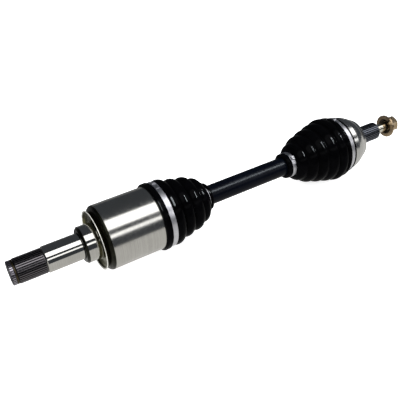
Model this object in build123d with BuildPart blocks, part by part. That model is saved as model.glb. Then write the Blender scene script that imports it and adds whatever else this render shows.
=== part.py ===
from build123d import *
import math
import os

os.makedirs("parts", exist_ok=True)

# Drive half-shaft with a plunging tripod joint inboard and a six-ball fixed joint outboard.
# The axle lies along +X, inboard end first, +Z up. The origin is the middle of the polished
# journal of the inboard stub, on the axle's axis. All sizes are in millimetres.

# ---- driving dimensions ------------------------------------------------------------------
shaft_radius = 13.5
fit_gap = 0.05
edge = 0.8

# inboard stub
journal_radius = 17.0
journal_half_length = 23.0
collar_radius = 23.8
collar_end = 45.2
collar_chamfer = 2.4
stub_spline_radius = 16.0
stub_spline_start = -58.5
stub_spline_teeth = 36
stub_spline_depth = 1.3
stub_tip_radius = 15.4
stub_tip_start = -66.0
stub_groove_start = -61.4
stub_groove_radius = 13.4
stub_circlip_wire = 1.0
stub_circlip_radius = 14.65

# dust shield
shield_rim_x = 41.0
shield_rim_radius = 39.2
shield_sheet = 1.2
shield_floor_radius = 34.5
shield_bend_radius = 36.6
shield_sleeve = 4.0

# inboard housing
housing_back_x = 46.4
housing_radius = 42.8
housing_back_fillet = 5.5
boot_seat_x = 120.0
housing_seat_radius = 41.4
housing_mouth_x = 138.0
cavity_floor_x = 57.5
land_bore_radius = 22.0
mouth_cone_x = 106.0
mouth_radius = 32.4
stop_ring_x = 136.2
stop_ring_wire = 0.9
stop_ring_radius = 32.4

# tripod
tripod_x = 98.0
trunnion_count = 3
tripod_pitch_radius = 25.0
trunnion_radius = 9.0
trunnion_end = 32.6
spider_hub_radius = 17.2
spider_half_width = 11.0
spider_bore = 12.05
roller_radius = 15.5
roller_half_width = 5.0
roller_bore = 11.3
needle_radius = 1.0
needle_count = 26
track_radius = 16.55
track_floor_radius = 34.6
roller_washer_radius = 12.4
roller_circlip_radius = 10.2
roller_circlip_gap = 4.0
circlip_groove_start = 31.0
circlip_groove_end = 31.9
circlip_groove_radius = 8.2

# bar shaft
shaft_inner_overrun = 16.0
shaft_outer_overrun = 14.0
seat_radius = 12.0
seat_teeth = 26
seat_depth = 1.0
neck_end_x = 178.0
snap_groove_depth = 1.4
snap_ring_radius = 13.6
snap_ring_thickness = 1.4
race_groove_depth = 1.6
race_groove_width = 2.2
race_circlip_wire = 0.9
clamp_seat_rise = 0.4

# outer joint
outer_joint_x = 443.0
ball_count = 6
ball_pitch_radius = 28.0
ball_radius = 7.94
track_clearance = 1.06
inner_race_radius = 25.0
inner_race_half_width = 11.0
inner_race_bore = 12.05
inner_race_chamfer_start = 7.0
inner_race_chamfer_radius = 24.3
inner_race_chamfer = 5.0
cage_inner_radius = 25.35
cage_outer_radius = 30.0
cage_half_width = 12.0
bell_inner_radius = 30.35
bell_mouth_x = 428.0
bell_seat_radius = 39.2
bell_lip_x = 438.2
bell_lip_radius = 41.0
bell_shoulder_x = 446.5
bell_shoulder_radius = 40.7
bell_dome_x = 454.5
bell_dome_radius = 38.0
bell_step_x = 461.6
bell_step_radius = 34.2
bell_rim_radius = 30.8
bell_end_x = 469.6
bell_cavity_end_x = 465.4
neck_radius = 15.4
hub_spline_start = 483.0
hub_spline_end = 515.0
hub_spline_radius = 13.4
hub_spline_teeth = 30
hub_spline_depth = 1.1
inner_track_sweep = 80.0
pocket_angle = 25.0
mouth_track_angle = 60.0
mouth_flare_radius = 19.3
mouth_flare_length = 9.3
window_corner = 2.2

# bolt
bolt_shank_radius = 6.95
bolt_thread_bore = 7.0
bolt_tip_x = 487.0
bolt_flange_x = 540.5
bolt_flange_radius = 15.6
bolt_flange_thickness = 3.2
bolt_hex_across_flats = 22.0
bolt_end_x = 555.5
hex_chamfer = 1.6
hex_corner_radius = 13.4
hex_face_radius = 10.6
washer_radius = 17.4
washer_thickness = 2.6

# boots and clamps
rubber = 2.4
clamp_sheet = 0.8
inner_cuff_start = 121.3
inner_cuff_radius = 45.9
inner_clamp_start = 129.7
inner_clamp_end = 136.6
inner_clamp_radius = 43.8
inner_small_clamp_start = 196.4
inner_small_clamp_end = 202.0
small_clamp_radius = 17.9
inner_cuff_end = 207.0
outer_cuff_start = 333.5
outer_small_clamp_start = 340.3
outer_small_clamp_end = 346.2
outer_clamp_start = 429.8
outer_clamp_end = 435.4
outer_clamp_radius = 41.8
cuff_lip = 1.6
boot_gap = 0.3
skin = 0.02


# ---- shared shapes -----------------------------------------------------------------------
def turned_face(points):
    """Closed face through (x, radius) points, ready to revolve about the axle's axis."""
    with BuildSketch(Plane.XZ) as face:
        with BuildLine():
            Polyline(*points, close=True)
        make_face()
    return face.sketch


def wire_face(x, radius, wire):
    """Round section of a wire ring."""
    with BuildSketch(Plane.XZ) as face:
        with Locations((x, radius)):
            Circle(wire)
    return face.sketch


def spline_gaps(x, teeth, outer, depth):
    """Spaces between the teeth of a spline, drawn across the axle at x."""
    pitch = 2 * math.pi * outer / teeth
    root = outer - depth
    with BuildSketch(Plane.YZ.offset(x)) as gaps:
        with PolarLocations(0, teeth):
            Polygon(
                (root, -0.20 * pitch),
                (outer + depth, -0.42 * pitch),
                (outer + depth, 0.42 * pitch),
                (root, 0.20 * pitch),
                align=None,
            )
    return gaps.sketch


def boot_face(seat, cuff, ridges, valleys, collar, shaft_seat):
    """Face of a boot: wide cuff, folds as arcs from valley to valley, and small cuff.

    cuff and collar are the outside corners of the two cuffs, given from the wide end to the
    narrow end. The inner side follows the folds, one wall thickness in.
    """
    toward_narrow = math.copysign(rubber, collar[0][0] - cuff[-1][0])
    outside = [cuff[-1]] + valleys + [collar[0]]
    inside = [(x, radius - rubber) for x, radius in outside]
    inside[-1] = (collar[0][0] - toward_narrow, collar[0][1] - rubber)
    crests = [(x, radius - rubber) for x, radius in ridges]
    with BuildSketch(Plane.XZ) as face:
        with BuildLine():
            Polyline((cuff[0][0], seat), *cuff)
            for left, ridge, right in zip(outside, ridges, outside[1:]):
                ThreePointArc(left, ridge, right)
            Polyline(*collar, (collar[-1][0], shaft_seat), (inside[-1][0], shaft_seat), inside[-1])
            for left, ridge, right in zip(inside, crests, inside[1:]):
                ThreePointArc(left, ridge, right)
            Polyline(inside[0], (inside[0][0], seat), (cuff[0][0], seat))
        make_face()
    return face.sketch


def ball_zone(x, radius, start, end):
    """Half section of a ball centred at x, cut square at start and end, measured from x."""
    start_radius = math.sqrt(radius**2 - start**2)
    end_radius = math.sqrt(radius**2 - end**2)
    middle = (start + end) / 2
    with BuildSketch(Plane.XZ) as face:
        with BuildLine():
            ThreePointArc(
                (x + start, start_radius),
                (x + middle, math.sqrt(radius**2 - middle**2)),
                (x + end, end_radius),
            )
            Polyline((x + end, end_radius), (x + end, 0), (x + start, 0), (x + start, start_radius))
        make_face()
    return face.sketch


def save(piece, label):
    piece.label = label
    export_step(piece, f"parts/{label}.step")


# ---- inboard housing: stub, collar and tripod housing in one forging ---------------------
with BuildPart() as inner_housing:
    revolve(
        turned_face(
            [
                (stub_tip_start, 0),
                (stub_tip_start, stub_tip_radius - edge),
                (stub_tip_start + edge, stub_tip_radius),
                (stub_groove_start, stub_tip_radius),
                (stub_groove_start, stub_groove_radius),
                (stub_spline_start, stub_groove_radius),
                (stub_spline_start, stub_spline_radius - edge),
                (stub_spline_start + edge, stub_spline_radius),
                (-journal_half_length - 1.6, stub_spline_radius),
                (-journal_half_length, stub_spline_radius - edge),
                (-journal_half_length, journal_radius - edge),
                (-journal_half_length + edge, journal_radius),
                (journal_half_length, journal_radius),
                (journal_half_length, collar_radius - collar_chamfer),
                (journal_half_length + collar_chamfer, collar_radius),
                (collar_end, collar_radius),
                (housing_back_x, collar_radius),
                (housing_back_x, housing_radius),
                (boot_seat_x, housing_radius),
                (boot_seat_x, housing_seat_radius),
                (housing_mouth_x, housing_seat_radius),
                (housing_mouth_x, 0),
            ]
        ),
        axis=Axis.X,
    )
    back_rim = inner_housing.edges().filter_by(GeomType.CIRCLE).filter_by(
        lambda rim: abs(rim.center().X - housing_back_x) < 0.01 and rim.radius > collar_radius + 1
    )
    fillet(back_rim, housing_back_fillet)
    # teeth of the stub's spline run on across the tip
    extrude(
        spline_gaps(stub_tip_start - 1, stub_spline_teeth, stub_spline_radius, stub_spline_depth),
        amount=-stub_tip_start - journal_half_length - 0.6,
        mode=Mode.SUBTRACT,
    )
    # bore between the tracks, opened out to a cone at the mouth so that the bent shaft clears it
    revolve(
        turned_face(
            [
                (cavity_floor_x, 0),
                (cavity_floor_x, land_bore_radius),
                (mouth_cone_x, land_bore_radius),
                (housing_mouth_x, mouth_radius),
                (housing_mouth_x + 1, mouth_radius),
                (housing_mouth_x + 1, 0),
            ]
        ),
        axis=Axis.X,
        mode=Mode.SUBTRACT,
    )
    # three roller tracks with round flanks, one of them straight up
    with BuildSketch(Plane.YZ.offset(cavity_floor_x)) as track_section:
        with PolarLocations(0, trunnion_count, start_angle=90):
            with Locations((tripod_pitch_radius, 0)):
                Circle(track_radius)
    with BuildSketch(Plane.YZ.offset(cavity_floor_x)) as track_limits:
        Circle(track_floor_radius)
    extrude(
        track_section.sketch & track_limits.sketch,
        amount=housing_mouth_x - cavity_floor_x + 1,
        mode=Mode.SUBTRACT,
    )
    # groove for the stop ring, in the lands
    revolve(
        wire_face(stop_ring_x, stop_ring_radius, stop_ring_wire + 0.15),
        axis=Axis.X,
        mode=Mode.SUBTRACT,
    )
save(inner_housing.part, "inner_housing")

# ---- wire ring near the stub's tip -------------------------------------------------------
with BuildPart() as stub_circlip:
    revolve(
        wire_face(
            (stub_groove_start + stub_spline_start) / 2, stub_circlip_radius, stub_circlip_wire
        ),
        axis=Axis.X,
        revolution_arc=335,
    )
save(stub_circlip.part, "stub_circlip")

# ---- stamped dust shield: a flat floor round the collar and a dished rim -----------------
with BuildPart() as dust_shield:
    floor_x = housing_back_x - fit_gap
    bend_x = floor_x - 0.8
    sleeve_radius = collar_radius + fit_gap
    revolve(
        turned_face(
            [
                (floor_x, sleeve_radius),
                (floor_x, shield_floor_radius),
                (bend_x, shield_bend_radius),
                (shield_rim_x + 0.6, shield_rim_radius),
                (shield_rim_x, shield_rim_radius),
                (shield_rim_x, shield_rim_radius - shield_sheet),
                (bend_x - 1.6, shield_bend_radius - 1.0),
                (floor_x - shield_sheet, shield_floor_radius - 0.9),
                (floor_x - shield_sheet, sleeve_radius + shield_sheet),
                (floor_x - shield_sleeve, sleeve_radius + shield_sheet),
                (floor_x - shield_sleeve, sleeve_radius),
            ]
        ),
        axis=Axis.X,
    )
save(dust_shield.part, "dust_shield")

# ---- stop ring in the housing's mouth ----------------------------------------------------
with BuildPart() as housing_stop_ring:
    revolve(
        wire_face(stop_ring_x, stop_ring_radius, stop_ring_wire),
        axis=Axis.X,
        revolution_arc=340,
    )
save(housing_stop_ring.part, "housing_stop_ring")

# ---- tripod spider -----------------------------------------------------------------------
with BuildPart() as trunnion:
    with BuildSketch(Plane.XY):
        with Locations((tripod_x, 0)):
            Circle(trunnion_radius)
    extrude(amount=circlip_groove_start)
    with BuildSketch(Plane.XY.offset(circlip_groove_start)):
        with Locations((tripod_x, 0)):
            Circle(circlip_groove_radius)
    extrude(amount=circlip_groove_end - circlip_groove_start)
    with BuildSketch(Plane.XY.offset(circlip_groove_end)):
        with Locations((tripod_x, 0)):
            Circle(trunnion_radius)
    extrude(amount=trunnion_end - circlip_groove_end)

with BuildPart() as tripod_spider:
    with BuildSketch(Plane.YZ.offset(tripod_x - spider_half_width)):
        Circle(spider_hub_radius)
    extrude(amount=2 * spider_half_width)
    hub_rims = tripod_spider.edges().filter_by(GeomType.CIRCLE)
    chamfer(hub_rims, 1.2)
    for number in range(trunnion_count):
        add(trunnion.part.rotate(Axis.X, number * 360 / trunnion_count))
    with BuildSketch(Plane.YZ.offset(tripod_x - spider_half_width)):
        Circle(spider_bore)
    extrude(amount=2 * spider_half_width, mode=Mode.SUBTRACT)
save(tripod_spider.part, "tripod_spider")

# ---- tripod rollers: a ball-shaped rim on a straight bore --------------------------------
with BuildPart() as upright_roller:
    with BuildSketch(Plane.XZ) as roller_section:
        with BuildLine():
            rim_radius = math.sqrt(roller_radius**2 - roller_half_width**2)
            low = tripod_pitch_radius - roller_half_width
            high = tripod_pitch_radius + roller_half_width
            ThreePointArc(
                (tripod_x + rim_radius, low),
                (tripod_x + roller_radius, tripod_pitch_radius),
                (tripod_x + rim_radius, high),
            )
            Line((tripod_x + rim_radius, high), (tripod_x + roller_bore, high))
            Line((tripod_x + roller_bore, high), (tripod_x + roller_bore, low))
            Line((tripod_x + roller_bore, low), (tripod_x + rim_radius, low))
        make_face()
    revolve(axis=Axis((tripod_x, 0, 0), (0, 0, 1)))

# ---- loose needles between trunnion and roller -------------------------------------------
needle_pitch = (trunnion_radius + roller_bore) / 2
needle_length = 2 * roller_half_width - 0.6

with BuildPart() as upright_needles:
    with BuildSketch(Plane.XY.offset(tripod_pitch_radius - needle_length / 2)):
        with Locations((tripod_x, 0)):
            with PolarLocations(needle_pitch, needle_count):
                Circle(needle_radius)
    extrude(amount=needle_length)

for number in range(trunnion_count):
    turn = number * 360 / trunnion_count
    save(upright_roller.part.rotate(Axis.X, turn), f"tripod_roller_{number + 1}")
    save(upright_needles.part.rotate(Axis.X, turn), f"needle_set_{number + 1}")

# ---- thrust washers and circlips on the trunnion ends ------------------------------------
washer_bottom = tripod_pitch_radius + roller_half_width + 0.15

with BuildPart() as upright_washer:
    with BuildSketch(Plane.XY.offset(washer_bottom)):
        with Locations((tripod_x, 0)):
            Circle(roller_washer_radius)
            Circle(trunnion_radius + fit_gap, mode=Mode.SUBTRACT)
    extrude(amount=circlip_groove_start - washer_bottom - fit_gap)

with BuildPart() as upright_circlip:
    with BuildSketch(Plane.XY.offset(circlip_groove_start + fit_gap)):
        with Locations((tripod_x, 0)):
            Circle(roller_circlip_radius)
            Circle(circlip_groove_radius + fit_gap, mode=Mode.SUBTRACT)
        with Locations((tripod_x + trunnion_radius, 0)):
            Rectangle(6, roller_circlip_gap, mode=Mode.SUBTRACT)
    extrude(amount=circlip_groove_end - circlip_groove_start - 2 * fit_gap)

with BuildPart() as roller_washers:
    for number in range(trunnion_count):
        add(upright_washer.part.rotate(Axis.X, number * 360 / trunnion_count))
save(roller_washers.part, "roller_washers")

with BuildPart() as roller_circlips:
    for number in range(trunnion_count):
        add(upright_circlip.part.rotate(Axis.X, number * 360 / trunnion_count))
save(roller_circlips.part, "roller_circlips")

# ---- bar shaft with a splined seat at each end -------------------------------------------
shaft_start = tripod_x - shaft_inner_overrun
shaft_end = outer_joint_x + shaft_outer_overrun
snap_groove_x = tripod_x - spider_half_width - 2.0
race_groove_x = outer_joint_x + 8.0
clamp_seat = shaft_radius + clamp_seat_rise

with BuildPart() as axle_shaft:
    revolve(
        turned_face(
            [
                (shaft_start, 0),
                (shaft_start, seat_radius - 1),
                (shaft_start + 1, seat_radius),
                (snap_groove_x, seat_radius),
                (snap_groove_x, seat_radius - snap_groove_depth),
                (snap_groove_x + 1.6, seat_radius - snap_groove_depth),
                (snap_groove_x + 1.6, seat_radius),
                (tripod_x + spider_half_width, seat_radius),
                (tripod_x + spider_half_width, seat_radius + 1),
                (tripod_x + spider_half_width + 2, seat_radius + 1),
                (tripod_x + spider_half_width + 6, seat_radius),
                (neck_end_x, seat_radius),
                (neck_end_x + 8, shaft_radius),
                (inner_small_clamp_start - 1, shaft_radius),
                (inner_small_clamp_start, clamp_seat),
                (inner_small_clamp_end, clamp_seat),
                (inner_small_clamp_end + 1, shaft_radius),
                (outer_small_clamp_start - 1, shaft_radius),
                (outer_small_clamp_start, clamp_seat),
                (outer_small_clamp_end, clamp_seat),
                (outer_small_clamp_end + 1, shaft_radius),
                (outer_joint_x - 40, shaft_radius),
                (outer_joint_x - 36, seat_radius),
                (race_groove_x, seat_radius),
                (race_groove_x, seat_radius - race_groove_depth),
                (race_groove_x + race_groove_width, seat_radius - race_groove_depth),
                (race_groove_x + race_groove_width, seat_radius),
                (shaft_end - 1, seat_radius),
                (shaft_end, seat_radius - 1),
                (shaft_end, 0),
            ]
        ),
        axis=Axis.X,
    )
    for seat_x, seat_length in (
        (shaft_start - 1, shaft_inner_overrun + spider_half_width),
        (outer_joint_x - inner_race_half_width - 2, 2 * inner_race_half_width + 10),
    ):
        extrude(
            spline_gaps(seat_x, seat_teeth, seat_radius, seat_depth),
            amount=seat_length,
            mode=Mode.SUBTRACT,
        )
save(axle_shaft.part, "axle_shaft")

# ---- snap ring that holds the spider on the shaft ----------------------------------------
with BuildPart() as spider_snap_ring:
    with BuildSketch(Plane.YZ.offset(snap_groove_x + 0.1)):
        Circle(snap_ring_radius)
        Circle(seat_radius - snap_groove_depth + 0.1, mode=Mode.SUBTRACT)
        with Locations((0, seat_radius)):
            Rectangle(5, 8, mode=Mode.SUBTRACT)
    extrude(amount=snap_ring_thickness)
save(spider_snap_ring.part, "spider_snap_ring")

# ---- inner race: a ball with six tracks --------------------------------------------------
ball_track_radius = ball_radius + track_clearance

with BuildPart() as inner_race:
    revolve(
        ball_zone(
            outer_joint_x, inner_race_radius, -inner_race_half_width, inner_race_half_width
        ),
        axis=Axis.X,
    )
    with BuildSketch(Plane.YZ.offset(outer_joint_x - inner_race_half_width)):
        Circle(inner_race_bore)
    extrude(amount=2 * inner_race_half_width, mode=Mode.SUBTRACT)
    with Locations(Plane.YZ.offset(outer_joint_x)):
        with PolarLocations(0, ball_count):
            Torus(
                ball_pitch_radius,
                ball_track_radius,
                major_angle=inner_track_sweep,
                rotation=(90, 0, -inner_track_sweep / 2),
                align=None,
                mode=Mode.SUBTRACT,
            )
    # the wheel-side corner is turned off, to clear the bell's flat when the joint is bent
    chamfer_x = outer_joint_x + inner_race_chamfer_start
    revolve(
        turned_face(
            [
                (chamfer_x, inner_race_chamfer_radius),
                (chamfer_x + inner_race_chamfer, inner_race_chamfer_radius - inner_race_chamfer),
                (chamfer_x + inner_race_chamfer, inner_race_radius + 1),
                (chamfer_x, inner_race_radius + 1),
            ]
        ),
        axis=Axis.X,
        mode=Mode.SUBTRACT,
    )
    # room for the wire ring that springs out of the shaft's groove
    revolve(
        turned_face(
            [
                (race_groove_x + 0.1, 0),
                (race_groove_x + 0.1, inner_race_bore + 0.9),
                (race_groove_x + race_groove_width, inner_race_bore + 0.9),
                (race_groove_x + race_groove_width, 0),
            ]
        ),
        axis=Axis.X,
        mode=Mode.SUBTRACT,
    )
save(inner_race.part, "inner_race")

with BuildPart() as race_circlip:
    revolve(
        wire_face(race_groove_x + 1.15, seat_radius - 0.15, race_circlip_wire),
        axis=Axis.X,
        revolution_arc=330,
    )
save(race_circlip.part, "race_circlip")

# ---- ball cage with six windows ----------------------------------------------------------
window_half_width = ball_radius + 0.1
window_length = 2 * ball_radius + 2.8

with BuildPart() as upright_window:
    with BuildSketch(Plane.XY.offset(cage_inner_radius - 8)):
        with Locations((outer_joint_x, 0)):
            RectangleRounded(2 * window_half_width, window_length, window_corner)
    extrude(amount=cage_outer_radius - cage_inner_radius + 12)

with BuildPart() as ball_cage:
    revolve(
        ball_zone(outer_joint_x, cage_outer_radius, -cage_half_width, cage_half_width),
        axis=Axis.X,
    )
    revolve(
        ball_zone(outer_joint_x, cage_inner_radius, -cage_half_width, cage_half_width),
        axis=Axis.X,
        mode=Mode.SUBTRACT,
    )
    for number in range(ball_count):
        add(upright_window.part.rotate(Axis.X, number * 360 / ball_count - 90), mode=Mode.SUBTRACT)
save(ball_cage.part, "ball_cage")

# ---- balls -------------------------------------------------------------------------------
for number in range(ball_count):
    place = math.radians(number * 360 / ball_count)
    with BuildPart() as ball:
        with Locations(
            (
                outer_joint_x,
                ball_pitch_radius * math.cos(place),
                ball_pitch_radius * math.sin(place),
            )
        ):
            Sphere(ball_radius)
    save(ball.part, f"ball_{number + 1}")

# ---- outer race: bell, neck and splined stub in one forging ------------------------------
flare_start = outer_joint_x - mouth_flare_length

with BuildPart() as outer_race:
    with BuildSketch(Plane.XZ) as bell_section:
        with BuildLine():
            Polyline(
                (bell_mouth_x, 0),
                (bell_mouth_x, bell_seat_radius),
                (bell_lip_x, bell_seat_radius),
                (bell_lip_x, bell_lip_radius),
                (bell_shoulder_x, bell_shoulder_radius),
            )
            ThreePointArc(
                (bell_shoulder_x, bell_shoulder_radius),
                (bell_dome_x, bell_dome_radius),
                (bell_step_x, bell_step_radius),
            )
            Polyline(
                (bell_step_x, bell_step_radius),
                (bell_step_x + 0.4, bell_step_radius - 1.2),
                (bell_end_x - 1, bell_rim_radius),
                (bell_end_x, bell_rim_radius - 1.2),
                (bell_end_x, neck_radius + 6),
            )
            ThreePointArc(
                (bell_end_x, neck_radius + 6),
                (bell_end_x + 2.0, neck_radius + 2.0),
                (bell_end_x + 6, neck_radius),
            )
            Polyline(
                (bell_end_x + 6, neck_radius),
                (hub_spline_start - 1, neck_radius),
                (hub_spline_start, hub_spline_radius),
                (hub_spline_end - 1, hub_spline_radius),
                (hub_spline_end, hub_spline_radius - 1),
                (hub_spline_end, 0),
                (bell_mouth_x, 0),
            )
        make_face()
    revolve(axis=Axis.X)
    extrude(
        spline_gaps(hub_spline_start, hub_spline_teeth, hub_spline_radius, hub_spline_depth),
        amount=hub_spline_end - hub_spline_start + 1,
        mode=Mode.SUBTRACT,
    )
    # round seat of the cage, cut flat behind, and flared at the mouth for the bent shaft
    revolve(
        ball_zone(outer_joint_x, bell_inner_radius, -16, bell_cavity_end_x - outer_joint_x),
        axis=Axis.X,
        mode=Mode.SUBTRACT,
    )
    revolve(
        turned_face(
            [
                (flare_start, 0),
                (flare_start, mouth_flare_radius + outer_joint_x - flare_start),
                (bell_mouth_x, mouth_flare_radius + outer_joint_x - bell_mouth_x),
                (bell_mouth_x - 1, mouth_flare_radius + outer_joint_x - bell_mouth_x),
                (bell_mouth_x - 1, 0),
            ]
        ),
        axis=Axis.X,
        mode=Mode.SUBTRACT,
    )
    # six ball tracks, each an arc about the joint's centre that ends in a round pocket
    with Locations(Plane.YZ.offset(outer_joint_x)):
        with PolarLocations(0, ball_count):
            Torus(
                ball_pitch_radius,
                ball_track_radius,
                major_angle=pocket_angle + mouth_track_angle,
                rotation=(90, 0, -mouth_track_angle),
                align=None,
                mode=Mode.SUBTRACT,
            )
            with Locations(
                (
                    ball_pitch_radius * math.cos(math.radians(pocket_angle)),
                    0,
                    ball_pitch_radius * math.sin(math.radians(pocket_angle)),
                )
            ):
                Sphere(ball_track_radius, mode=Mode.SUBTRACT)
    # threaded hole for the hub bolt, drawn at the thread's outside
    with BuildSketch(Plane.YZ.offset(bolt_tip_x - 3)):
        Circle(bolt_thread_bore)
    extrude(amount=hub_spline_end - bolt_tip_x + 4, mode=Mode.SUBTRACT)
save(outer_race.part, "outer_race")

# ---- hub bolt and its washer -------------------------------------------------------------
washer_x = bolt_flange_x - washer_thickness

with BuildPart() as hub_bolt:
    revolve(
        turned_face(
            [
                (bolt_tip_x, 0),
                (bolt_tip_x, bolt_shank_radius - 1),
                (bolt_tip_x + 1, bolt_shank_radius),
                (bolt_flange_x, bolt_shank_radius),
                (bolt_flange_x, bolt_flange_radius),
                (bolt_flange_x + 1.6, bolt_flange_radius),
                (bolt_flange_x + bolt_flange_thickness, bolt_flange_radius - 2.2),
                (bolt_flange_x + bolt_flange_thickness, 0),
            ]
        ),
        axis=Axis.X,
    )
    with BuildSketch(Plane.YZ.offset(bolt_flange_x + bolt_flange_thickness)):
        RegularPolygon(bolt_hex_across_flats / 2, 6, major_radius=False, rotation=15)
    extrude(amount=bolt_end_x - bolt_flange_x - bolt_flange_thickness)
    # the hex corners are turned off at the outer end
    revolve(
        turned_face(
            [
                (bolt_end_x - hex_chamfer, hex_corner_radius),
                (bolt_end_x, hex_face_radius),
                (bolt_end_x + 1, hex_face_radius),
                (bolt_end_x + 1, hex_corner_radius + 1),
                (bolt_end_x - hex_chamfer, hex_corner_radius + 1),
            ]
        ),
        axis=Axis.X,
        mode=Mode.SUBTRACT,
    )
save(hub_bolt.part, "hub_bolt")

with BuildPart() as hub_bolt_washer:
    revolve(
        turned_face(
            [
                (washer_x, bolt_shank_radius + 3.6),
                (washer_x, washer_radius - 0.6),
                (washer_x + 0.6, washer_radius),
                (bolt_flange_x - 0.6, washer_radius),
                (bolt_flange_x - fit_gap, washer_radius - 0.6),
                (bolt_flange_x - fit_gap, bolt_shank_radius + 0.4),
            ]
        ),
        axis=Axis.X,
    )
save(hub_bolt_washer.part, "hub_bolt_washer")

# ---- inner boot --------------------------------------------------------------------------
inner_cuff = [
    (inner_cuff_start, inner_cuff_radius - cuff_lip),
    (inner_cuff_start + cuff_lip, inner_cuff_radius),
    (inner_clamp_start - 1.4, inner_cuff_radius),
    (inner_clamp_start - boot_gap, inner_clamp_radius - skin),
    (inner_clamp_end + boot_gap, inner_clamp_radius - skin),
    (inner_clamp_end + 1.8, inner_clamp_radius + 0.6),
]
inner_ridges = [(143.0, 45.2), (161.5, 40.4), (178.3, 36.9), (190.8, 31.0)]
inner_valleys = [(152.4, 37.2), (168.4, 33.7), (184.8, 30.0)]
inner_collar = [
    (inner_small_clamp_start - boot_gap, 21.0),
    (inner_small_clamp_start - boot_gap, small_clamp_radius - skin),
    (inner_small_clamp_end + boot_gap, small_clamp_radius - skin),
    (inner_small_clamp_end + 1.4, small_clamp_radius + 0.9),
    (inner_cuff_end - 1, small_clamp_radius + 0.9),
    (inner_cuff_end, small_clamp_radius),
]
boot_shaft_seat = clamp_seat + skin

with BuildPart() as inner_boot:
    revolve(
        boot_face(
            housing_seat_radius + skin,
            inner_cuff,
            inner_ridges,
            inner_valleys,
            inner_collar,
            boot_shaft_seat,
        ),
        axis=Axis.X,
    )
save(inner_boot.part, "inner_boot")

# ---- outer boot --------------------------------------------------------------------------
outer_cuff = [
    (bell_lip_x - 0.1, outer_clamp_radius + 0.8),
    (bell_lip_x - 0.4, outer_clamp_radius + 1.1),
    (outer_clamp_end + 0.9, outer_clamp_radius + 1.1),
    (outer_clamp_end + boot_gap, outer_clamp_radius - skin),
    (outer_clamp_start - boot_gap, outer_clamp_radius - skin),
    (outer_clamp_start - 1.0, outer_clamp_radius + 0.8),
]
outer_ridges = [
    (425.2, 46.0),
    (415.0, 47.4),
    (399.2, 44.0),
    (383.2, 39.8),
    (367.6, 35.0),
    (352.8, 27.2),
]
outer_valleys = [(421.2, 43.8), (407.2, 42.4), (391.2, 38.4), (375.2, 34.0), (359.8, 27.8)]
outer_collar = [
    (outer_small_clamp_end + boot_gap, 19.2),
    (outer_small_clamp_end + boot_gap, small_clamp_radius - skin),
    (outer_small_clamp_start - boot_gap, small_clamp_radius - skin),
    (outer_small_clamp_start - 1.4, small_clamp_radius + 0.8),
    (outer_cuff_start + 1.2, small_clamp_radius + 0.4),
    (outer_cuff_start, small_clamp_radius - 1.0),
]

with BuildPart() as outer_boot:
    revolve(
        boot_face(
            bell_seat_radius + skin,
            outer_cuff,
            outer_ridges,
            outer_valleys,
            outer_collar,
            boot_shaft_seat,
        ),
        axis=Axis.X,
    )
save(outer_boot.part, "outer_boot")


# ---- band clamps: a strip round the cuff and a raised latch ------------------------------
def band_clamp(start, end, radius, latch_angle, latch_length, latch_height):
    """Band clamp whose latch sits at latch_angle, in degrees from +Y towards +Z."""
    width = end - start
    turn = math.radians(latch_angle)
    outward = (0, math.cos(turn), math.sin(turn))
    latch_place = Plane(origin=(start + width / 2, 0, 0), x_dir=(1, 0, 0), z_dir=outward)
    latch_axis = Axis((0, 0, 0), outward)
    with BuildPart() as clamp:
        with BuildSketch(Plane.YZ.offset(start)):
            Circle(radius + clamp_sheet)
            Circle(radius, mode=Mode.SUBTRACT)
        extrude(amount=width)
        with BuildSketch(latch_place.offset(radius + 0.5 * clamp_sheet)):
            RectangleRounded(0.7 * width, latch_length, 0.2 * width)
        extrude(amount=latch_height)
        chamfer(clamp.faces().sort_by(latch_axis)[-1].edges(), 0.25 * latch_height)
    return clamp.part


save(
    band_clamp(inner_clamp_start, inner_clamp_end, inner_clamp_radius, 62, 9, 1.8),
    "inner_boot_clamp_large",
)
save(
    band_clamp(inner_small_clamp_start, inner_small_clamp_end, small_clamp_radius, 60, 6, 1.8),
    "inner_boot_clamp_small",
)
save(
    band_clamp(outer_clamp_start, outer_clamp_end, outer_clamp_radius, 62, 9, 1.8),
    "outer_boot_clamp_large",
)
save(
    band_clamp(outer_small_clamp_start, outer_small_clamp_end, small_clamp_radius, 110, 6, 2.2),
    "outer_boot_clamp_small",
)
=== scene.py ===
import math

import bpy
from mathutils import Matrix, Vector


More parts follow.
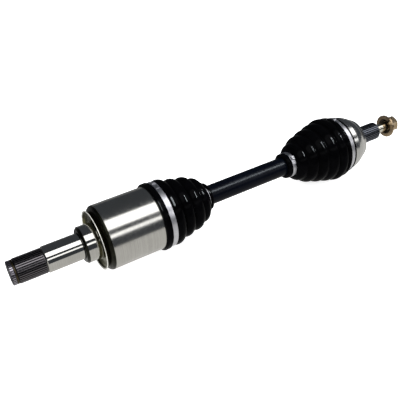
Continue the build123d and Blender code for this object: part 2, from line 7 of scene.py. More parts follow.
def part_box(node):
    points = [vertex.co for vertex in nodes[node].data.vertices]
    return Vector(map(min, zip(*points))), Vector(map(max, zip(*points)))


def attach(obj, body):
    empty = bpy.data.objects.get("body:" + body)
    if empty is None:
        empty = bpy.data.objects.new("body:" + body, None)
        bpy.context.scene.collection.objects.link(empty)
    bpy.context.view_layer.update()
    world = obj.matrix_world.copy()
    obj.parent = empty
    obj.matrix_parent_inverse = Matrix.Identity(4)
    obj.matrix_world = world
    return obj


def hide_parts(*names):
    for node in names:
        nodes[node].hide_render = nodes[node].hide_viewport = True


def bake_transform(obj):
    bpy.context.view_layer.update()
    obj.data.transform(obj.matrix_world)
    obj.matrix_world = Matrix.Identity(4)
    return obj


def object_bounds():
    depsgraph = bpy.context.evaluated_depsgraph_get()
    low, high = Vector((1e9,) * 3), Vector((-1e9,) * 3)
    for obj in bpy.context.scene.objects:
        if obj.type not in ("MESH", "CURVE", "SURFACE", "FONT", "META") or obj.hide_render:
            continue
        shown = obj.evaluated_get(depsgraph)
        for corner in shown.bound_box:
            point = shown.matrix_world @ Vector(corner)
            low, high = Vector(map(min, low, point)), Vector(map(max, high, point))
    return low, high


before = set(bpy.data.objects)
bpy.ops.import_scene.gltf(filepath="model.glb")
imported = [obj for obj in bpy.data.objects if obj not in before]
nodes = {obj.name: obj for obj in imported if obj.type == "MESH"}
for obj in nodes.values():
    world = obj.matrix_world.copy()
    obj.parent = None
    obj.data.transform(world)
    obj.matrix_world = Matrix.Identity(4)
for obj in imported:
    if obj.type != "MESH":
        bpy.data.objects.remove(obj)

cad_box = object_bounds()
MM = 0.001

# The axle lies along +X, stub end first, +Z up. Pieces and profiles are in millimetres, turned into
# metres when a mesh is made. Lights, floor and camera are in metres.


# ---- places read from the frame ----------------------------------------------------------------
def span(node, axis=0):
    """Lowest and highest place of a CAD node along an axis, in millimetres."""
    low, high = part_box(node)
    return low[axis] / MM, high[axis] / MM


inner_band_start, inner_band_end = span("inner_boot_clamp_large")
inner_tie_start, inner_tie_end = span("inner_boot_clamp_small")
outer_band_start, outer_band_end = span("outer_boot_clamp_large")
outer_tie_start, outer_tie_end = span("outer_boot_clamp_small")
inner_boot_start, inner_boot_end = span("inner_boot")
outer_boot_start, outer_boot_end = span("outer_boot")
shield_start = span("dust_shield")[0]
washer_end = span("hub_bolt_washer")[1]
race_end = span("outer_race")[1]

inner_band_radius = 43.8
outer_band_radius = 41.8
tie_radius = 17.9
band_sheet = 0.8
stud_sheet = 0.3
stud_half_length = 0.9
rubber = 2.4
skin = 0.02
housing_seat = 41.42
bell_seat = 39.22
shaft_seat = 13.95
inner_cuff_radius = 45.9
bell_face_to_end = 45.6
hub_teeth_to_end = 32.5


# ---- mesh helpers ------------------------------------------------------------------------------
def link(name, mesh):
    piece = bpy.data.objects.new(name, mesh)
    bpy.context.scene.collection.objects.link(piece)
    return piece


def shade(mesh, sharp_degrees):
    """Smooth shading, with edges sharper than sharp_degrees kept crisp."""
    mesh.validate()
    mesh.shade_smooth()
    mesh.set_sharp_from_angle(angle=math.radians(sharp_degrees))


def turned(name, outline, segments=192, sharp_degrees=32):
    """Closed ring turned about the axle's axis from a closed outline of (x, radius) points."""
    count = len(outline)
    points = []
    for step in range(segments):
        turn = 2 * math.pi * step / segments
        up = math.sin(turn)
        side = math.cos(turn)
        points += [(x * MM, radius * side * MM, radius * up * MM) for x, radius in outline]
    faces = []
    for step in range(segments):
        here = step * count
        there = (step + 1) % segments * count
        for corner in range(count):
            after = (corner + 1) % count
            faces.append((here + corner, here + after, there + after, there + corner))
    mesh = bpy.data.meshes.new(name)
    mesh.from_pydata(points, [], faces)
    shade(mesh, sharp_degrees)
    return link(name, mesh)


def arc(start, middle, end, steps):
    """Points of the circle arc from start over middle, without its last point."""
    (ax, ay), (bx, by), (cx, cy) = start, middle, end
    d = 2 * (ax * (by - cy) + bx * (cy - ay) + cx * (ay - by))
    a2, b2, c2 = ax * ax + ay * ay, bx * bx + by * by, cx * cx + cy * cy
    x0 = (a2 * (by - cy) + b2 * (cy - ay) + c2 * (ay - by)) / d
    y0 = (a2 * (cx - bx) + b2 * (ax - cx) + c2 * (bx - ax)) / d
    radius = math.hypot(ax - x0, ay - y0)
    first = math.atan2(ay - y0, ax - x0)
    last = math.atan2(cy - y0, cx - x0)
    over = math.atan2(by - y0, bx - x0)
    full = 2 * math.pi
    sweep = (last - first) % full
    if (over - first) % full > sweep:
        sweep -= full
    return [
        (
            x0 + radius * math.cos(first + sweep * step / steps),
            y0 + radius * math.sin(first + sweep * step / steps),
        )
        for step in range(steps)
    ]


def resample(points, gap):
    """The same open line with its points a gap apart."""
    lengths = [0.0]
    for a, b in zip(points, points[1:]):
        lengths.append(lengths[-1] + math.dist(a, b))
    count = max(2, round(lengths[-1] / gap))
    even = []
    place = 0
    for step in range(count + 1):
        want = lengths[-1] * step / count
        while place < len(points) - 2 and lengths[place + 1] < want:
            place += 1
        run = lengths[place + 1] - lengths[place]
        part = (want - lengths[place]) / run if run else 0
        even.append(tuple(a + (b - a) * part for a, b in zip(points[place], points[place + 1])))
    return even


def softened(points, rounds):
    """The same open line with its corners rounded, ends kept."""
    for _ in range(rounds):
        points = (
            [points[0]]
            + [
                tuple((a + 2 * b + c) / 4 for a, b, c in zip(before, here, after))
                for before, here, after in zip(points, points[1:], points[2:])
            ]
            + [points[-1]]
        )
    return points


def inset(points, depth):
    """The line moved inwards, square to itself."""
    moved = []
    for number, here in enumerate(points):
        before = points[max(0, number - 1)]
        after = points[min(len(points) - 1, number + 1)]
        run = Vector((after[0] - before[0], after[1] - before[1])).normalized()
        side = Vector((run.y, -run.x))
        if side.y > 0:
            side = -side
        moved.append((here[0] + side.x * depth, here[1] + side.y * depth))
    return moved


# ---- boots -------------------------------------------------------------------------------------
def folds(ends, ridges, valleys):
    """Outside line of a boot's folds: round crests, and valleys between them."""
    low = [ends[0]] + valleys + [ends[1]]
    line = []
    for left, ridge, right in zip(low, ridges, low[1:]):
        line += arc(left, ridge, right, 28)
    return line + [ends[1]]


split_x = 152.4
split_radius = 37.2
inner_cuff = [
    (inner_boot_start, housing_seat),
    (inner_boot_start, inner_cuff_radius - 1.2),
    (inner_boot_start + 1.2, inner_cuff_radius),
    (inner_band_start - 1.4, inner_cuff_radius),
    (inner_band_start - 0.3, inner_band_radius - skin),
    (inner_band_end + 0.3, inner_band_radius - skin),
    (inner_band_end + 1.8, inner_band_radius + 0.6),
]
inner_ridges = [(143.0, 45.2), (161.5, 40.4), (178.3, 36.9), (190.8, 31.0)]
inner_valleys = [(split_x, split_radius), (168.4, 33.7), (184.8, 30.0)]
inner_tie_edge = inner_tie_start - 0.3

near_folds = folds(
    (inner_cuff[-1], (split_x, split_radius)), inner_ridges[:1], []
)
far_folds = folds(
    ((split_x, split_radius), (inner_tie_edge, 20.8)), inner_ridges[1:], inner_valleys[1:]
)
inner_collar = [
    (inner_tie_edge, tie_radius - skin),
    (inner_tie_end + 0.3, tie_radius - skin),
    (inner_tie_end + 1.2, tie_radius + 0.8),
    (inner_boot_end - 1.2, tie_radius + 0.8),
    (inner_boot_end, tie_radius - 0.5),
    (inner_boot_end, shaft_seat),
]


def wall(name, outside, inside):
    """Closed boot wall from its outside line and its inside line, both in the same direction."""
    return turned(name, outside + inside[::-1], 224, 38)


near_line = softened(resample(near_folds, 0.4), 3)
near_inside = inset(near_line, rubber)
near_cuff = softened(resample(inner_cuff, 0.3), 1)
near_inside[-1] = (split_x, split_radius - rubber)
inner_boot_near = wall(
    "inner_boot_cuff_and_first_fold",
    near_cuff + near_line[1:],
    [(inner_boot_start, housing_seat), (inner_band_end + 1.4, housing_seat)] + near_inside[2:],
)
far_line = softened(resample(far_folds, 0.4), 3)
far_inside = inset(far_line, rubber)
far_inside[0] = (split_x, split_radius - rubber)
far_collar = softened(resample(inner_collar, 0.3), 1)
inner_boot_far = wall(
    "inner_boot_folds_and_collar",
    far_line + far_collar,
    far_inside[:-4] + [(inner_tie_edge + rubber, shaft_seat), (inner_boot_end, shaft_seat)],
)

outer_cuff = [
    (outer_boot_end, bell_seat),
    (outer_boot_end, outer_band_radius + 0.6),
    (outer_boot_end - 0.4, outer_band_radius + 1.1),
    (outer_band_end + 0.9, outer_band_radius + 1.1),
    (outer_band_end + 0.3, outer_band_radius - skin),
    (outer_band_start - 0.3, outer_band_radius - skin),
    (outer_band_start - 1.0, outer_band_radius + 0.8),
]
outer_ridges = [
    (425.2, 46.0),
    (415.0, 47.3),
    (399.2, 44.0),
    (383.2, 39.8),
    (367.6, 35.0),
    (352.8, 27.2),
]
outer_valleys = [(421.2, 43.8), (407.2, 42.4), (391.2, 38.4), (375.2, 34.0), (359.8, 27.8)]
outer_tie_edge = outer_tie_end + 0.3
outer_collar = [
    (outer_tie_edge, tie_radius - skin),
    (outer_tie_start - 0.3, tie_radius - skin),
    (outer_tie_start - 1.4, tie_radius + 0.7),
    (outer_boot_start + 1.2, tie_radius + 0.3),
    (outer_boot_start, tie_radius - 1.0),
    (outer_boot_start, shaft_seat),
]
outer_folds = folds(
    (outer_cuff[-1], (outer_tie_edge, 19.2)), outer_ridges, outer_valleys
)
outer_line = softened(resample(outer_folds, 0.4), 3)
outer_inside = inset(outer_line, rubber)
outer_boot = wall(
    "outer_boot_wall",
    softened(resample(outer_cuff, 0.3), 1) + outer_line[1:] + softened(resample(outer_collar, 0.3), 1),
    [(outer_boot_end, bell_seat), (outer_band_start - 1.5, bell_seat)]
    + outer_inside[4:-4]
    + [(outer_tie_edge - rubber, shaft_seat), (outer_boot_start, shaft_seat)],
)


# ---- band clamps -------------------------------------------------------------------------------
def sweep(points, faces, width, sheet, middle, path):
    """Adds a flat strip swept along path, a list of (angle, radius, width share)."""
    corner = 0.28 * sheet
    base = len(points)
    for angle, radius, share in path:
        half = width / 2 * share
        low, high = radius, radius + sheet
        section = [
            (-half + corner, low),
            (half - corner, low),
            (half, low + corner),
            (half, high - corner),
            (half - corner, high),
            (-half + corner, high),
            (-half, high - corner),
            (-half, low + corner),
        ]
        for x, r in section:
            points.append(
                ((middle + x) * MM, r * math.cos(angle) * MM, r * math.sin(angle) * MM)
            )
    count = 8
    for step in range(len(path) - 1):
        here = base + step * count
        there = here + count
        for side in range(count):
            after = (side + 1) % count
            faces.append((here + side, here + after, there + after, there + side))
    faces.append(tuple(base + side for side in range(count))[::-1])
    last = base + (len(path) - 1) * count
    faces.append(tuple(last + side for side in range(count)))


def smooth_step(value):
    value = min(1.0, max(0.0, value))
    return value * value * (3 - 2 * value)


def clamp(name, start, end, radius, latch_degrees, ear_length, ear_height, overlap_degrees, studs):
    """Band clamp: a strip that overlaps itself, a pinched ear, and small hook heads."""
    width = end - start
    middle = (start + end) / 2
    points = []
    faces = []
    latch = math.radians(latch_degrees)
    overlap = math.radians(overlap_degrees)
    ramp = math.radians(9)
    turns = 240
    path = []
    for step in range(turns + 1):
        angle = latch + (2 * math.pi + overlap) * step / turns
        past = angle - latch - 2 * math.pi
        lift = (band_sheet * 0.75 + 0.03) * smooth_step((past + ramp) / ramp)
        taper = 1 - 0.35 * smooth_step((past - overlap + ramp) / ramp)
        path.append((angle, radius + lift, taper))
    sweep(points, faces, width, band_sheet * 0.75, middle, path)
    ear_radius = radius + 1.5 * band_sheet
    ear = []
    ear_turn = ear_length / ear_radius
    ear_middle = latch + overlap * 0.45
    for step in range(33):
        part = step / 32 * 2 - 1
        rise = smooth_step((1 - abs(part)) / 0.34)
        dip = 0.22 * math.exp(-((part / 0.22) ** 2))
        height = ear_height * rise * (1 - dip)
        ear.append((ear_middle + part * ear_turn / 2, ear_radius + height, 0.72))
    sweep(points, faces, width, band_sheet * 0.7, middle, ear)
    for number in range(studs):
        place = ear_middle - ear_turn * (0.9 + 0.42 * number)
        head = []
        for step in range(9):
            part = step / 8 * 2 - 1
            bulge = math.sqrt(max(0.0, 1 - part * part))
            angle = place + part * stud_half_length / ear_radius
            head.append((angle, ear_radius - stud_sheet + 0.55 * bulge, 0.30 + 0.12 * bulge))
        sweep(points, faces, width, stud_sheet, middle, head)
    mesh = bpy.data.meshes.new(name)
    mesh.from_pydata(points, [], faces)
    shade(mesh, 30)
    return link(name, mesh)


inner_band = clamp(
    "inner_band_clamp", inner_band_start, inner_band_end, inner_band_radius,
    latch_degrees=56, ear_length=7.5, ear_height=0.7, overlap_degrees=34, studs=3,
)
inner_tie = clamp(
    "inner_tie_clamp", inner_tie_start, inner_tie_end, tie_radius,
    latch_degrees=50, ear_length=5.0, ear_height=1.9, overlap_degrees=40, studs=0,
)
outer_band = clamp(
    "outer_band_clamp", outer_band_start, outer_band_end, outer_band_radius,
    latch_degrees=60, ear_length=8.5, ear_height=0.8, overlap_degrees=34, studs=3,
)
outer_tie = clamp(
    "outer_tie_clamp", outer_tie_start, outer_tie_end, tie_radius,
    latch_degrees=96, ear_length=6.0, ear_height=2.3, overlap_degrees=50, studs=0,
)


# ---- materials ---------------------------------------------------------------------------------
class Surface:
    """A material being put together: its node tree and its Principled shader."""

    def __init__(self, name, metallic, specular=0.5):
        self.material = bpy.data.materials.new(name)
        self.material.use_nodes = True
        self.tree = self.material.node_tree
        self.shader = self.tree.nodes["Principled BSDF"]
        self.shader.inputs["Metallic"].default_value = metallic
        self.shader.inputs["Specular IOR Level"].default_value = specular
        self.place = self.tree.nodes.new("ShaderNodeTexCoord").outputs["Object"]

    def join(self, source, socket):
        self.tree.links.new(source, socket)

    def noise(self, scale, stretch=(1, 1, 1), detail=3.0, roughness=0.55):
        """Noise in object coordinates, scale in features a metre, stretched along the axes."""
        mapping = self.tree.nodes.new("ShaderNodeMapping")
        mapping.inputs["Scale"].default_value = [scale * factor for factor in stretch]
        self.join(self.place, mapping.inputs["Vector"])
        texture = self.tree.nodes.new("ShaderNodeTexNoise")
        texture.inputs["Scale"].default_value = 1.0
        texture.inputs["Detail"].default_value = detail
        texture.inputs["Roughness"].default_value = roughness
        self.join(mapping.outputs["Vector"], texture.inputs["Vector"])
        return texture.outputs["Fac"]

    def spread(self, value, low, high, to_low=0.0, to_high=1.0):
        """The value's run from low to high, moved to to_low and to_high."""
        node = self.tree.nodes.new("ShaderNodeMapRange")
        self.join(value, node.inputs["Value"])
        node.inputs["From Min"].default_value = low
        node.inputs["From Max"].default_value = high
        node.inputs["To Min"].default_value = to_low
        node.inputs["To Max"].default_value = to_high
        return node.outputs["Result"]

    def along(self):
        """Place along the axle, in metres."""
        node = self.tree.nodes.new("ShaderNodeSeparateXYZ")
        self.join(self.place, node.inputs["Vector"])
        return node.outputs["X"]

    def outward(self):
        """Distance from the axle's axis, in metres."""
        flat = self.tree.nodes.new("ShaderNodeVectorMath")
        flat.operation = "MULTIPLY"
        flat.inputs[1].default_value = (0.0, 1.0, 1.0)
        self.join(self.place, flat.inputs[0])
        length = self.tree.nodes.new("ShaderNodeVectorMath")
        length.operation = "LENGTH"
        self.join(flat.outputs["Vector"], length.inputs[0])
        return length.outputs["Value"]

    def outside(self, low, high):
        """0 within low millimetres of the axle's axis, 1 beyond high."""
        return self.spread(self.outward(), low * MM, high * MM)

    def beyond(self, x, soft=0.25):
        """0 before x millimetres along the axle, 1 after it."""
        return self.spread(self.along(), (x - soft) * MM, (x + soft) * MM)

    def math(self, kind, first, second):
        node = self.tree.nodes.new("ShaderNodeMath")
        node.operation = kind
        for number, value in enumerate((first, second)):
            if isinstance(value, (int, float)):
                node.inputs[number].default_value = value
            else:
                self.join(value, node.inputs[number])
        return node.outputs["Value"]

    def colours(self, share, first, second):
        """Colour between first and second. Each is a colour or another node's output."""
        node = self.tree.nodes.new("ShaderNodeMix")
        node.data_type = "RGBA"
        self.join(share, node.inputs["Factor"])
        for label, value in (("A_Color", first), ("B_Color", second)):
            socket = next(s for s in node.inputs if s.identifier == label)
            if isinstance(value, tuple):
                socket.default_value = (*value, 1.0)
            else:
                self.join(value, socket)
        return next(s for s in node.outputs if s.identifier == "Result_Color")

    def values(self, share, first, second):
        node = self.tree.nodes.new("ShaderNodeMix")
        node.data_type = "FLOAT"
        self.join(share, node.inputs["Factor"])
        for label, value in (("A_Float", first), ("B_Float", second)):
            socket = next(s for s in node.inputs if s.identifier == label)
            if isinstance(value, (int, float)):
                socket.default_value = value
            else:
                self.join(value, socket)
        return next(s for s in node.outputs if s.identifier == "Result_Float")

    def colour(self, value):
        self.join(value, self.shader.inputs["Base Color"])

    def rough(self, value):
        self.join(value, self.shader.inputs["Roughness"])

    def bumps(self, *layers):
        """Adds bump layers, each (height output, depth in metres)."""
        before = None
        for height, depth in layers:
            node = self.tree.nodes.new("ShaderNodeBump")
            node.inputs["Strength"].default_value = 1.0
            node.inputs["Distance"].default_value = depth
            self.join(height, node.inputs["Height"])
            if before is not None:
                self.join(before, node.inputs["Normal"])
            before = node.outputs["Normal"]
        self.join(before, self.shader.inputs["Normal"])


RING = (1.0, 0.006, 0.006)


def turned_finish(surface, light, dark, smooth, dull):
    """Colour and roughness of turned steel: rings round the axle, and faint cloudy stains."""
    rings = surface.noise(900, RING, 2.0)
    clouds = surface.noise(38, (1, 1, 1), 3.0)
    streaks = surface.math("MULTIPLY", surface.spread(rings, 0.3, 0.7), 0.5)
    blend = surface.math("ADD", streaks, surface.spread(clouds, 0.3, 0.75, 0.0, 0.5))
    colour = surface.colours(blend, light, dark)
    rough = surface.spread(blend, 0.1, 0.9, smooth, dull)
    return colour, rough


def tooth_colours(surface, root, flank, land_highlight, outer, depth):
    """Spline colours by radius: painted shade in the gaps, and a painted highlight on the lands."""
    oil = surface.noise(300, (0.5, 1, 1), 4.0)
    gap = surface.colours(surface.spread(oil, 0.35, 0.7), root, flank)
    # the lands get a painted highlight, the gaps below them painted shade
    return surface.colours(surface.outside(outer - 0.45 * depth, outer - 0.05 * depth), gap, land_highlight)


def housing_material():
    """Zones along the axle: stub tip, teeth, journal, painted shade on the shoulder, collar, forging,
    turned cylinder.
    """
    surface = Surface("turned_housing_steel", 1.0)
    polished, polished_rough = turned_finish(
        surface, (0.60, 0.59, 0.56), (0.47, 0.46, 0.43), 0.14, 0.24
    )
    scale = surface.noise(420, (1, 1, 1), 5.0, 0.65)
    forged_black_and_painted_shade = surface.colours(
        surface.spread(scale, 0.35, 0.7), (0.010, 0.010, 0.008), (0.035, 0.035, 0.024)
    )
    forged_rough = surface.spread(scale, 0.3, 0.7, 0.28, 0.46)
    teeth = tooth_colours(
        surface, (0.010, 0.010, 0.011), (0.030, 0.029, 0.031), (0.17, 0.16, 0.17), 16.0, 1.3
    )
    tip = tooth_colours(
        surface, (0.05, 0.045, 0.055), (0.10, 0.095, 0.11), (0.40, 0.38, 0.42), 15.4, 0.8
    )
    edges = (
        (-60.0, 0.25, teeth, 0.28),
        (-23.2, 0.15, polished, 0.08),
        # painted shade: the shoulder from the journal's end over the collar face and chamfer gets the
        # forging's black
        (22.2, 0.10, forged_black_and_painted_shade, 0.30),
        (26.2, 0.15, polished, 0.08),
        (46.2, 0.25, forged_black_and_painted_shade, forged_rough),
        (51.4, 0.30, polished, polished_rough),
    )
    colour = tip
    rough = 0.28
    for x, soft, next_colour, next_rough in edges:
        past = surface.beyond(x, soft)
        colour = surface.colours(past, colour, next_colour)
        rough = surface.values(past, rough, next_rough)
    surface.colour(colour)
    surface.rough(rough)
    on_forging = surface.math("SUBTRACT", surface.beyond(46.2), surface.beyond(51.4, 0.3))
    grooves = surface.noise(1500, RING, 2.0)
    waves = surface.noise(170, RING, 1.0)
    surface.bumps(
        (surface.math("MULTIPLY", scale, on_forging), 0.00025),
        (grooves, 0.0000018),
        (waves, 0.000006),
    )
    return surface.material


def bell_material():
    """Turned bell, black oxide past its end face, and oiled teeth on the stub with painted shade in their
    gaps and a painted highlight on their lands.
    """
    surface = Surface("turned_bell_steel", 1.0)
    polished, polished_rough = turned_finish(
        surface, (0.62, 0.61, 0.59), (0.48, 0.48, 0.47), 0.14, 0.26
    )
    teeth = tooth_colours(
        surface, (0.010, 0.011, 0.014), (0.022, 0.024, 0.030), (0.15, 0.16, 0.19), 13.4, 1.1
    )
    scale = surface.noise(420, (1, 1, 1), 5.0)
    oxide = surface.colours(scale, (0.010, 0.011, 0.014), (0.03, 0.032, 0.038))
    past_face = surface.beyond(race_end - bell_face_to_end)
    past_neck = surface.beyond(race_end - hub_teeth_to_end)
    colour = surface.colours(past_face, polished, oxide)
    surface.colour(surface.colours(past_neck, colour, teeth))
    surface.rough(surface.values(past_neck, polished_rough, 0.30))
    grooves = surface.noise(1500, RING, 2.0)
    waves = surface.noise(190, RING, 1.0)
    surface.bumps((grooves, 0.0000025), (waves, 0.000010))
    return surface.material


def plated_material(name, light, dark, stain, smooth, dull):
    """Passivated zinc: cloudy colour from light to dark, with thin stained spots."""
    surface = Surface(name, 1.0)
    clouds = surface.noise(120, (1, 1, 1), 4.0)
    spots = surface.noise(620, (1, 1, 1), 3.0)
    colour = surface.colours(surface.spread(clouds, 0.32, 0.68), light, dark)
    colour = surface.colours(surface.spread(spots, 0.58, 0.78, 0.0, 0.7), colour, stain)
    surface.colour(colour)
    surface.rough(surface.spread(clouds, 0.3, 0.7, smooth, dull))
    surface.bumps((spots, 0.000012), (surface.noise(2600), 0.000004))
    return surface.material


def shield_material():
    """Olive zinc, with a painted highlight: a pale line along the rim."""
    surface = Surface("olive_zinc_shield", 1.0)
    clouds = surface.noise(120, (1, 1, 1), 4.0)
    spots = surface.noise(620, (1, 1, 1), 3.0)
    olive = surface.colours(surface.spread(clouds, 0.32, 0.68), (0.15, 0.145, 0.075), (0.075, 0.07, 0.035))
    olive = surface.colours(surface.spread(spots, 0.58, 0.78, 0.0, 0.7), olive, (0.04, 0.035, 0.015))
    # painted highlight: the first part of the rim gets a pale colour
    olive_share = surface.beyond(shield_start + 0.75, 0.12)
    surface.colour(surface.colours(olive_share, (0.74, 0.73, 0.68), olive))
    surface.join(surface.values(olive_share, 0.3, 1.0), surface.shader.inputs["Metallic"])
    surface.rough(surface.spread(clouds, 0.3, 0.7, 0.18, 0.30))
    surface.bumps((spots, 0.000012), (surface.noise(2600), 0.000004))
    return surface.material


def washer_material():
    """Gold zinc, with painted shade in the recess round the bolt."""
    surface = Surface("gold_zinc_washer", 1.0)
    clouds = surface.noise(140, (1, 1, 1), 4.0)
    spots = surface.noise(700, (1, 1, 1), 3.0)
    gold = surface.colours(surface.spread(clouds, 0.32, 0.68), (0.52, 0.41, 0.28), (0.34, 0.24, 0.14))
    gold = surface.colours(surface.spread(spots, 0.6, 0.8, 0.0, 0.6), gold, (0.20, 0.11, 0.05))
    # painted shade: within 11 mm of the axis the recess round the bolt is dark
    surface.colour(surface.colours(surface.outside(11.0, 12.4), (0.035, 0.028, 0.022), gold))
    surface.rough(surface.spread(clouds, 0.3, 0.7, 0.22, 0.34))
    surface.bumps((spots, 0.000012), (surface.noise(1200, RING), 0.000004))
    return surface.material


def bolt_material():
    """Bright shank and gold zinc head."""
    surface = Surface("plated_hub_bolt", 1.0)
    clouds = surface.noise(140, (1, 1, 1), 4.0)
    spots = surface.noise(700, (1, 1, 1), 3.0)
    gold = surface.colours(surface.spread(clouds, 0.32, 0.68), (0.56, 0.45, 0.31), (0.38, 0.27, 0.15))
    gold = surface.colours(surface.spread(spots, 0.6, 0.8, 0.0, 0.6), gold, (0.24, 0.13, 0.06))
    shank = surface.colours(surface.spread(clouds, 0.32, 0.68), (0.74, 0.71, 0.62), (0.60, 0.57, 0.48))
    on_head = surface.beyond(washer_end - 0.4)
    surface.colour(surface.colours(on_head, shank, gold))
    surface.rough(surface.values(on_head, surface.spread(clouds, 0.3, 0.7, 0.10, 0.18),
                                 surface.spread(clouds, 0.3, 0.7, 0.22, 0.34)))
    surface.bumps((spots, 0.000010), (surface.noise(1400, RING), 0.000002))
    return surface.material


def bright_material(name, light, dark, smooth, dull, grain=1800):
    """Bright rolled or ground steel, with fine lines round the axle."""
    surface = Surface(name, 1.0)
    lines = surface.noise(grain, RING, 2.0)
    clouds = surface.noise(150, (1, 1, 1), 3.0)
    surface.colour(surface.colours(surface.spread(clouds, 0.3, 0.7), light, dark))
    surface.rough(surface.spread(lines, 0.3, 0.7, smooth, dull))
    surface.bumps((lines, 0.000003), (surface.noise(300), 0.000010))
    return surface.material


def painted_material():
    """Satin black paint, faintly blue, with orange peel."""
    surface = Surface("satin_black_shaft_paint", 0.0, 0.075)
    clouds = surface.noise(60, (0.4, 1, 1), 3.0)
    peel = surface.noise(420, (1, 1, 1), 2.0)
    share = surface.spread(clouds, 0.3, 0.7)
    surface.colour(surface.colours(share, (0.0006, 0.0012, 0.0032), (0.0010, 0.0018, 0.0046)))
    surface.rough(surface.spread(clouds, 0.3, 0.7, 0.24, 0.32))
    surface.bumps((peel, 0.00003), (surface.noise(2200), 0.000006))
    return surface.material


def rubber_material():
    """Smooth moulded rubber, kept very black by a low specular level."""
    surface = Surface("moulded_boot_rubber", 0.0, 0.014)
    clouds = surface.noise(55, (1, 1, 1), 3.0)
    pores = surface.noise(2400, (1, 1, 1), 3.0, 0.6)
    share = surface.spread(clouds, 0.3, 0.7)
    surface.colour(surface.colours(share, (0.0007, 0.0007, 0.0009), (0.0015, 0.0015, 0.0019)))
    surface.rough(surface.spread(clouds, 0.3, 0.7, 0.06, 0.10))
    surface.bumps((pores, 0.0000016), (surface.noise(240), 0.000007))
    return surface.material


housing_steel = housing_material()
bell_steel = bell_material()
shield_zinc = shield_material()
washer_zinc = washer_material()
bolt_zinc = bolt_material()
circlip_brass = plated_material(
    "brass_toned_spring_wire", (0.12, 0.095, 0.05), (0.06, 0.05, 0.03), (0.03, 0.025, 0.012), 0.3, 0.4
)
clamp_steel = bright_material("rolled_clamp_steel", (0.70, 0.70, 0.73), (0.56, 0.56, 0.60), 0.30, 0.44)
bearing_steel = bright_material("ground_bearing_steel", (0.66, 0.66, 0.67), (0.55, 0.55, 0.57), 0.08, 0.16)
cage_steel = bright_material("hardened_cage_steel", (0.34, 0.32, 0.30), (0.24, 0.22, 0.21), 0.25, 0.4)
spring_steel = bright_material("blued_spring_steel", (0.22, 0.23, 0.27), (0.14, 0.15, 0.18), 0.2, 0.32)
shaft_paint = painted_material()
boot_rubber = rubber_material()

carried = {
    "inner_housing": housing_steel,
    "stub_circlip": circlip_brass,
    "dust_shield": shield_zinc,
    "housing_stop_ring": spring_steel,
    "tripod_spider": bearing_steel,
    "roller_washers": bearing_steel,
    "roller_circlips": spring_steel,
    "spider_snap_ring": spring_steel,
    "axle_shaft": shaft_paint,
    "inner_race": bearing_steel,
    "race_circlip": spring_steel,
    "ball_cage": cage_steel,
    "outer_race": bell_steel,
    "hub_bolt": bolt_zinc,
    "hub_bolt_washer": washer_zinc,
}
for number in range(1, 4):
    carried[f"tripod_roller_{number}"] = bearing_steel
    carried[f"needle_set_{number}"] = bearing_steel
for number in range(1, 7):
    carried[f"ball_{number}"] = bearing_steel
for name, material in carried.items():
    nodes[name].data.materials.clear()
    nodes[name].data.materials.append(material)


# ---- pieces: their materials, and the clamps on their bodies -----------------------------------
def finish_piece(piece, material, slot, *replaced):
    piece.data.materials.append(material)
    if replaced:
        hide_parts(*replaced)


finish_piece(inner_boot_near, boot_rubber, "boot_rubber", "inner_boot")
finish_piece(inner_boot_far, boot_rubber, "boot_rubber", "inner_boot")
finish_piece(outer_boot, boot_rubber, "boot_rubber", "outer_boot")
finish_piece(inner_band, clamp_steel, "clamp_steel", "inner_boot_clamp_large")
finish_piece(inner_tie, clamp_steel, "clamp_steel", "inner_boot_clamp_small")
finish_piece(outer_band, clamp_steel, "clamp_steel", "outer_boot_clamp_large")
finish_piece(outer_tie, clamp_steel, "clamp_steel", "outer_boot_clamp_small")

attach(inner_band, "housing")
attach(inner_tie, "shaft")
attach(outer_tie, "shaft")
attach(outer_band, "wheel_stub")


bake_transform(inner_boot_near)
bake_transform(inner_boot_far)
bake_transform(outer_boot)

# ---- floor, backdrop and lights ----------------------------------------------------------------
centre = Vector(((cad_box[0][0] + cad_box[1][0]) / 2, 0.0, 0.0))
floor_z = cad_box[0][2] - 0.0002


def staged(name, points, faces, material):
    mesh = bpy.data.meshes.new(name)
    mesh.from_pydata(points, [], faces)
    mesh.materials.append(material)
    piece = link(name, mesh)
    return piece


def floor_material():
    surface = Surface("pale_floor", 0.0, 0.2)
    paper = surface.noise(14, (1, 1, 1), 2.0)
    surface.colour(surface.colours(paper, (0.90, 0.90, 0.90), (0.93, 0.93, 0.93)))
    surface.shader.inputs["Roughness"].default_value = 0.9
    surface.shader.inputs["Emission Color"].default_value = (1.0, 1.0, 1.0, 1.0)
    surface.shader.inputs["Emission Strength"].default_value = 0.82
    return surface.material


ring_steps = 96
floor_radius = 9.0
floor_points = [
    (
        centre.x + floor_radius * math.cos(2 * math.pi * step / ring_steps),
        floor_radius * math.sin(2 * math.pi * step / ring_steps),
        floor_z,
    )
    for step in range(ring_steps)
]
floor = staged("floor", floor_points, [tuple(range(ring_steps))], floor_material())
floor.visible_glossy = False


def backdrop_material():
    material = bpy.data.materials.new("pale_backdrop")
    material.use_nodes = True
    shader = material.node_tree.nodes["Principled BSDF"]
    shader.inputs["Base Color"].default_value = (0, 0, 0, 1)
    shader.inputs["Roughness"].default_value = 1.0
    shader.inputs["Specular IOR Level"].default_value = 0.0
    shader.inputs["Emission Color"].default_value = (1, 1, 1, 1)
    shader.inputs["Emission Strength"].default_value = 1.0
    return material


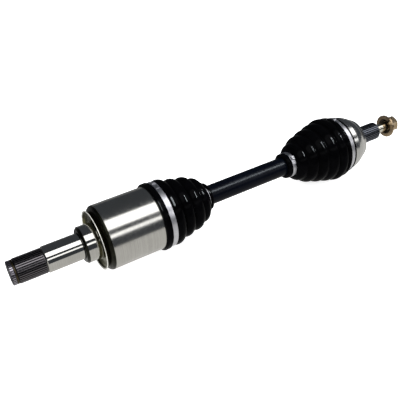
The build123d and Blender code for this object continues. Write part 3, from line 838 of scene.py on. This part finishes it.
wall_height = 9.0
wall_points = floor_points + [(x, y, z + wall_height) for x, y, z in floor_points]
wall_faces = [
    (step, (step + 1) % ring_steps, (step + 1) % ring_steps + ring_steps, step + ring_steps)
    for step in range(ring_steps)
]
wall_faces.append(tuple(range(ring_steps, 2 * ring_steps)))
backdrop = staged("backdrop", wall_points, wall_faces, backdrop_material())
backdrop.visible_diffuse = False
backdrop.visible_glossy = False
backdrop.visible_transmission = False
backdrop.visible_shadow = False

world = bpy.data.worlds.new("studio")
bpy.context.scene.world = world
world.use_nodes = True
world.node_tree.nodes["Background"].inputs["Color"].default_value = (0.80, 0.88, 1.0, 1.0)
world.node_tree.nodes["Background"].inputs["Strength"].default_value = 0.07


def panel(name, place, facing, width, length, radiance, colour=(1, 1, 1)):
    """Rectangular soft light that shows only in reflections. Its length runs along the axle."""
    data = bpy.data.lights.new(name, "AREA")
    data.shape = "RECTANGLE"
    data.size = length
    data.size_y = width
    data.energy = radiance * math.pi * width * length
    data.color = colour
    lamp = bpy.data.objects.new(name, data)
    lamp.location = place
    along = Vector((1.0, 0.0, 0.0))
    away = -facing
    lamp.rotation_mode = "QUATERNION"
    lamp.rotation_quaternion = Matrix((along, away.cross(along), away)).transposed().to_quaternion()
    lamp.visible_diffuse = False
    bpy.context.scene.collection.objects.link(lamp)
    return lamp


def strip(name, middle, length, angle_degrees, distance, spread_degrees, radiance, colour=(1, 1, 1)):
    """Panel beside the axle. Its angle is round the axle, from +Y up to +Z."""
    turn = math.radians(angle_degrees)
    outward = Vector((0.0, math.cos(turn), math.sin(turn)))
    width = 2 * distance * math.tan(math.radians(spread_degrees) / 2)
    place = Vector((middle, 0, 0)) + outward * distance
    return panel(name, place, -outward, width, length, radiance, colour)


def only_on(lamp, *pieces):
    """Lets the lamp light only these pieces."""
    lit = bpy.data.collections.new(lamp.name + "_lights")
    for piece in pieces:
        lit.objects.link(piece)
    lamp.light_linking.receiver_collection = lit


strip_middle = 0.62
strip_length = 3.0
near_strip = 0.90
cool = (0.88, 0.95, 1.0)
warm = (1.0, 0.985, 0.94)
strip(
    "top_softbox", strip_middle, strip_length,
    angle_degrees=106, distance=0.95, spread_degrees=34, radiance=2.4,
)
strip(
    "front_strip", strip_middle, strip_length,
    angle_degrees=145, distance=1.0, spread_degrees=11, radiance=2.0,
)
shaft_strip = strip(
    "shaft_strip", middle=0.75, length=1.2,
    angle_degrees=109, distance=near_strip, spread_degrees=8, radiance=42.0, colour=cool,
)
only_on(shaft_strip, nodes["axle_shaft"])

# short panels across the axle, that draw a thin line on the crest of each fold
inner_fold_light = strip(
    "inner_fold_light", middle=0.57, length=0.04,
    angle_degrees=113, distance=near_strip, spread_degrees=27, radiance=1000.0, colour=cool,
)
only_on(inner_fold_light, inner_boot_far)
outer_fold_light = strip(
    "outer_fold_light", middle=1.02, length=0.04,
    angle_degrees=113, distance=near_strip, spread_degrees=27, radiance=1250.0, colour=cool,
)
only_on(outer_fold_light, outer_boot)

# a broad soft panel for the wide first fold beside the housing
first_fold_light = strip(
    "first_fold_light", middle=0.20, length=0.34,
    angle_degrees=112, distance=near_strip, spread_degrees=30, radiance=240.0, colour=cool,
)
only_on(first_fold_light, inner_boot_near)

# light thrown back by the floor, stronger in front of the axle than behind it
up = Vector((0.0, 0.0, 1.0))
bounce_width = 1.2
bounce_z = floor_z - 0.001
front_edge = 0.03
rear_edge = 0.04
front_place = Vector((strip_middle, front_edge - bounce_width / 2, bounce_z))
panel("front_bounce", front_place, up, bounce_width, strip_length, 0.64, warm)
rear_place = Vector((strip_middle, rear_edge + bounce_width / 2, bounce_z))
panel("rear_bounce", rear_place, up, bounce_width, strip_length, 0.16, warm)

sun_data = bpy.data.lights.new("soft_sky", "SUN")
sun_data.energy = 4.2
sun_data.angle = math.radians(120)
sun = bpy.data.objects.new("soft_sky", sun_data)
sun.visible_glossy = False
bpy.context.scene.collection.objects.link(sun)

bpy.context.scene.view_settings.view_transform = "Standard"

# ---- camera ------------------------------------------------------------------------------------
camera_data = bpy.data.cameras.new("camera")
camera_data.lens = 51.6
camera = bpy.data.objects.new("camera", camera_data)
camera_turn = math.radians(-31.4)
camera_height = math.radians(40.2)
camera_distance = 0.773
look_at = Vector((0.1945, -0.0009, -0.0012))
back = Vector(
    (
        math.sin(camera_turn) * math.cos(camera_height),
        -math.cos(camera_turn) * math.cos(camera_height),
        math.sin(camera_height),
    )
)
camera.location = look_at + back * camera_distance
camera.rotation_euler = (math.pi / 2 - camera_height, 0.0, camera_turn)
camera_data.clip_start = 0.01
camera_data.clip_end = 60.0
bpy.context.scene.collection.objects.link(camera)
bpy.context.scene.camera = camera
